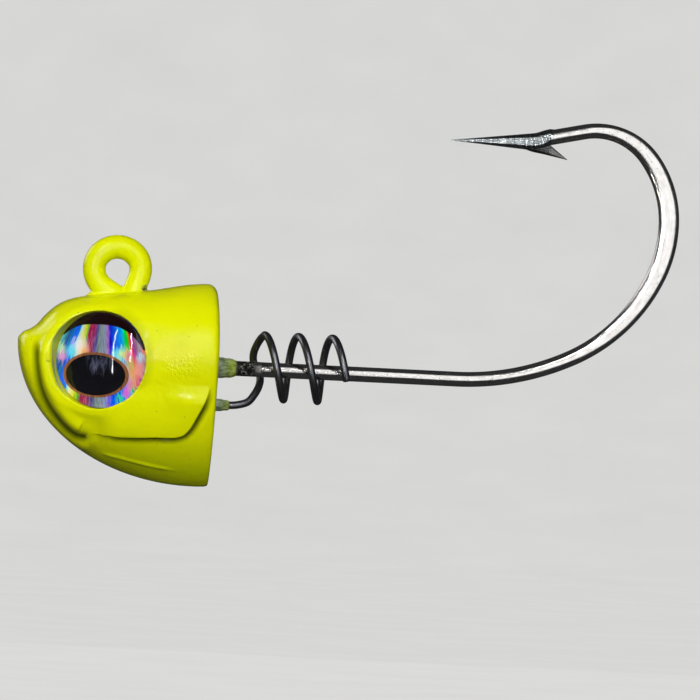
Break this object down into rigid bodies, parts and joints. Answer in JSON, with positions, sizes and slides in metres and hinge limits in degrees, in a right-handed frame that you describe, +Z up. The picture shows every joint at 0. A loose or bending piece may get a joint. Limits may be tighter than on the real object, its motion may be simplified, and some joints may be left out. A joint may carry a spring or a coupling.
{
  "type": "jig head",
  "caption": "Coated lead fish-head jig cast round a barbed hook, with a line-tie eyelet, domed eyes and a coil bait keeper.",
  "frame": {"origin": "centre of the line-tie eyelet", "axes": "+X along the shank from the head to the bend, +Z up towards the eyelet side, the fish's left flank on -Y"},
  "size_m": [0.0683, 0.0152, 0.0398],
  "materials": {
    "hook_wire": "black nickel plate, polished, ground grey at the point",
    "lead": "as-cast lead, dull grey",
    "powder_coat": "gloss chartreuse powder coat with slight orange peel",
    "keeper_wire": "dark drawn spring wire, satin",
    "adhesive_foam": "white closed-cell foam",
    "holographic_foil": "metallised holographic film with a printed pupil and lid",
    "clear_epoxy": "clear, polished"
  },
  "bodies": {
    "root": {"hook": "hook_wire", "head_casting": "lead", "paint_coat": "powder_coat", "keeper": "keeper_wire", "eye_adhesive_left": "adhesive_foam", "eye_adhesive_right": "adhesive_foam", "eye_foil_left": "holographic_foil", "eye_foil_right": "holographic_foil", "eye_dome_left": "clear_epoxy", "eye_dome_right": "clear_epoxy"}
  },
  "joints": []
}
